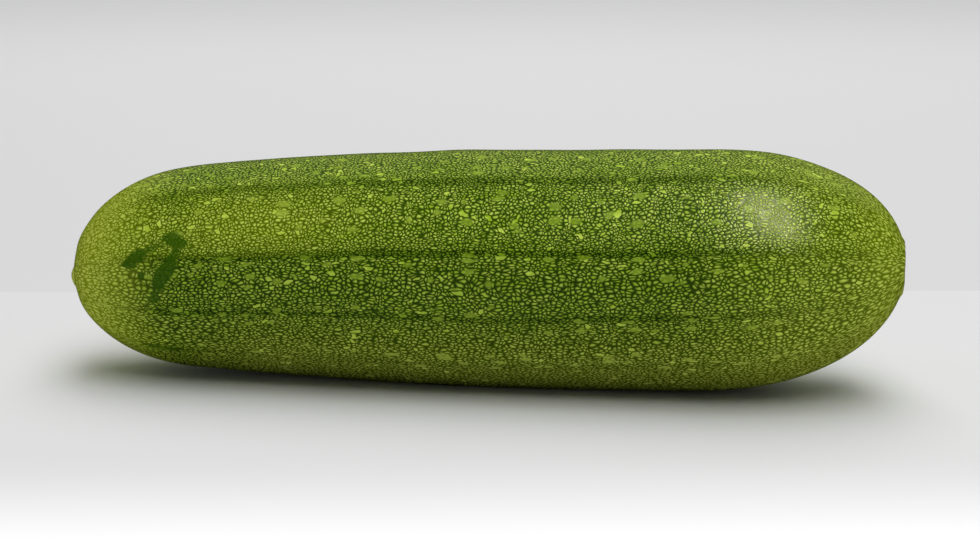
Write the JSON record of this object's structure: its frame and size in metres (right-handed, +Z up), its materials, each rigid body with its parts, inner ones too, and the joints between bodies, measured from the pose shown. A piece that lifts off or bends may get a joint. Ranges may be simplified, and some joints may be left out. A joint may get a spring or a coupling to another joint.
{
  "type": "courgette",
  "caption": "Whole round-ended green courgette with low lengthwise ridges, a blossom nub and a flush stem scar, lying on its flat spot.",
  "frame": {"origin": "on the surface that the fruit lies on, under the middle of its box", "axes": "+Z up, +X along the fruit towards its stem scar, so the blossom nub is at -X; -Y is the side that the picture shows"},
  "size_m": [0.2202, 0.0616, 0.0621],
  "materials": {
    "courgette_skin": "waxy green skin with a fine net of dark lines between pale flecks"
  },
  "bodies": {
    "root": {"courgette": "courgette_skin"}
  },
  "joints": []
}
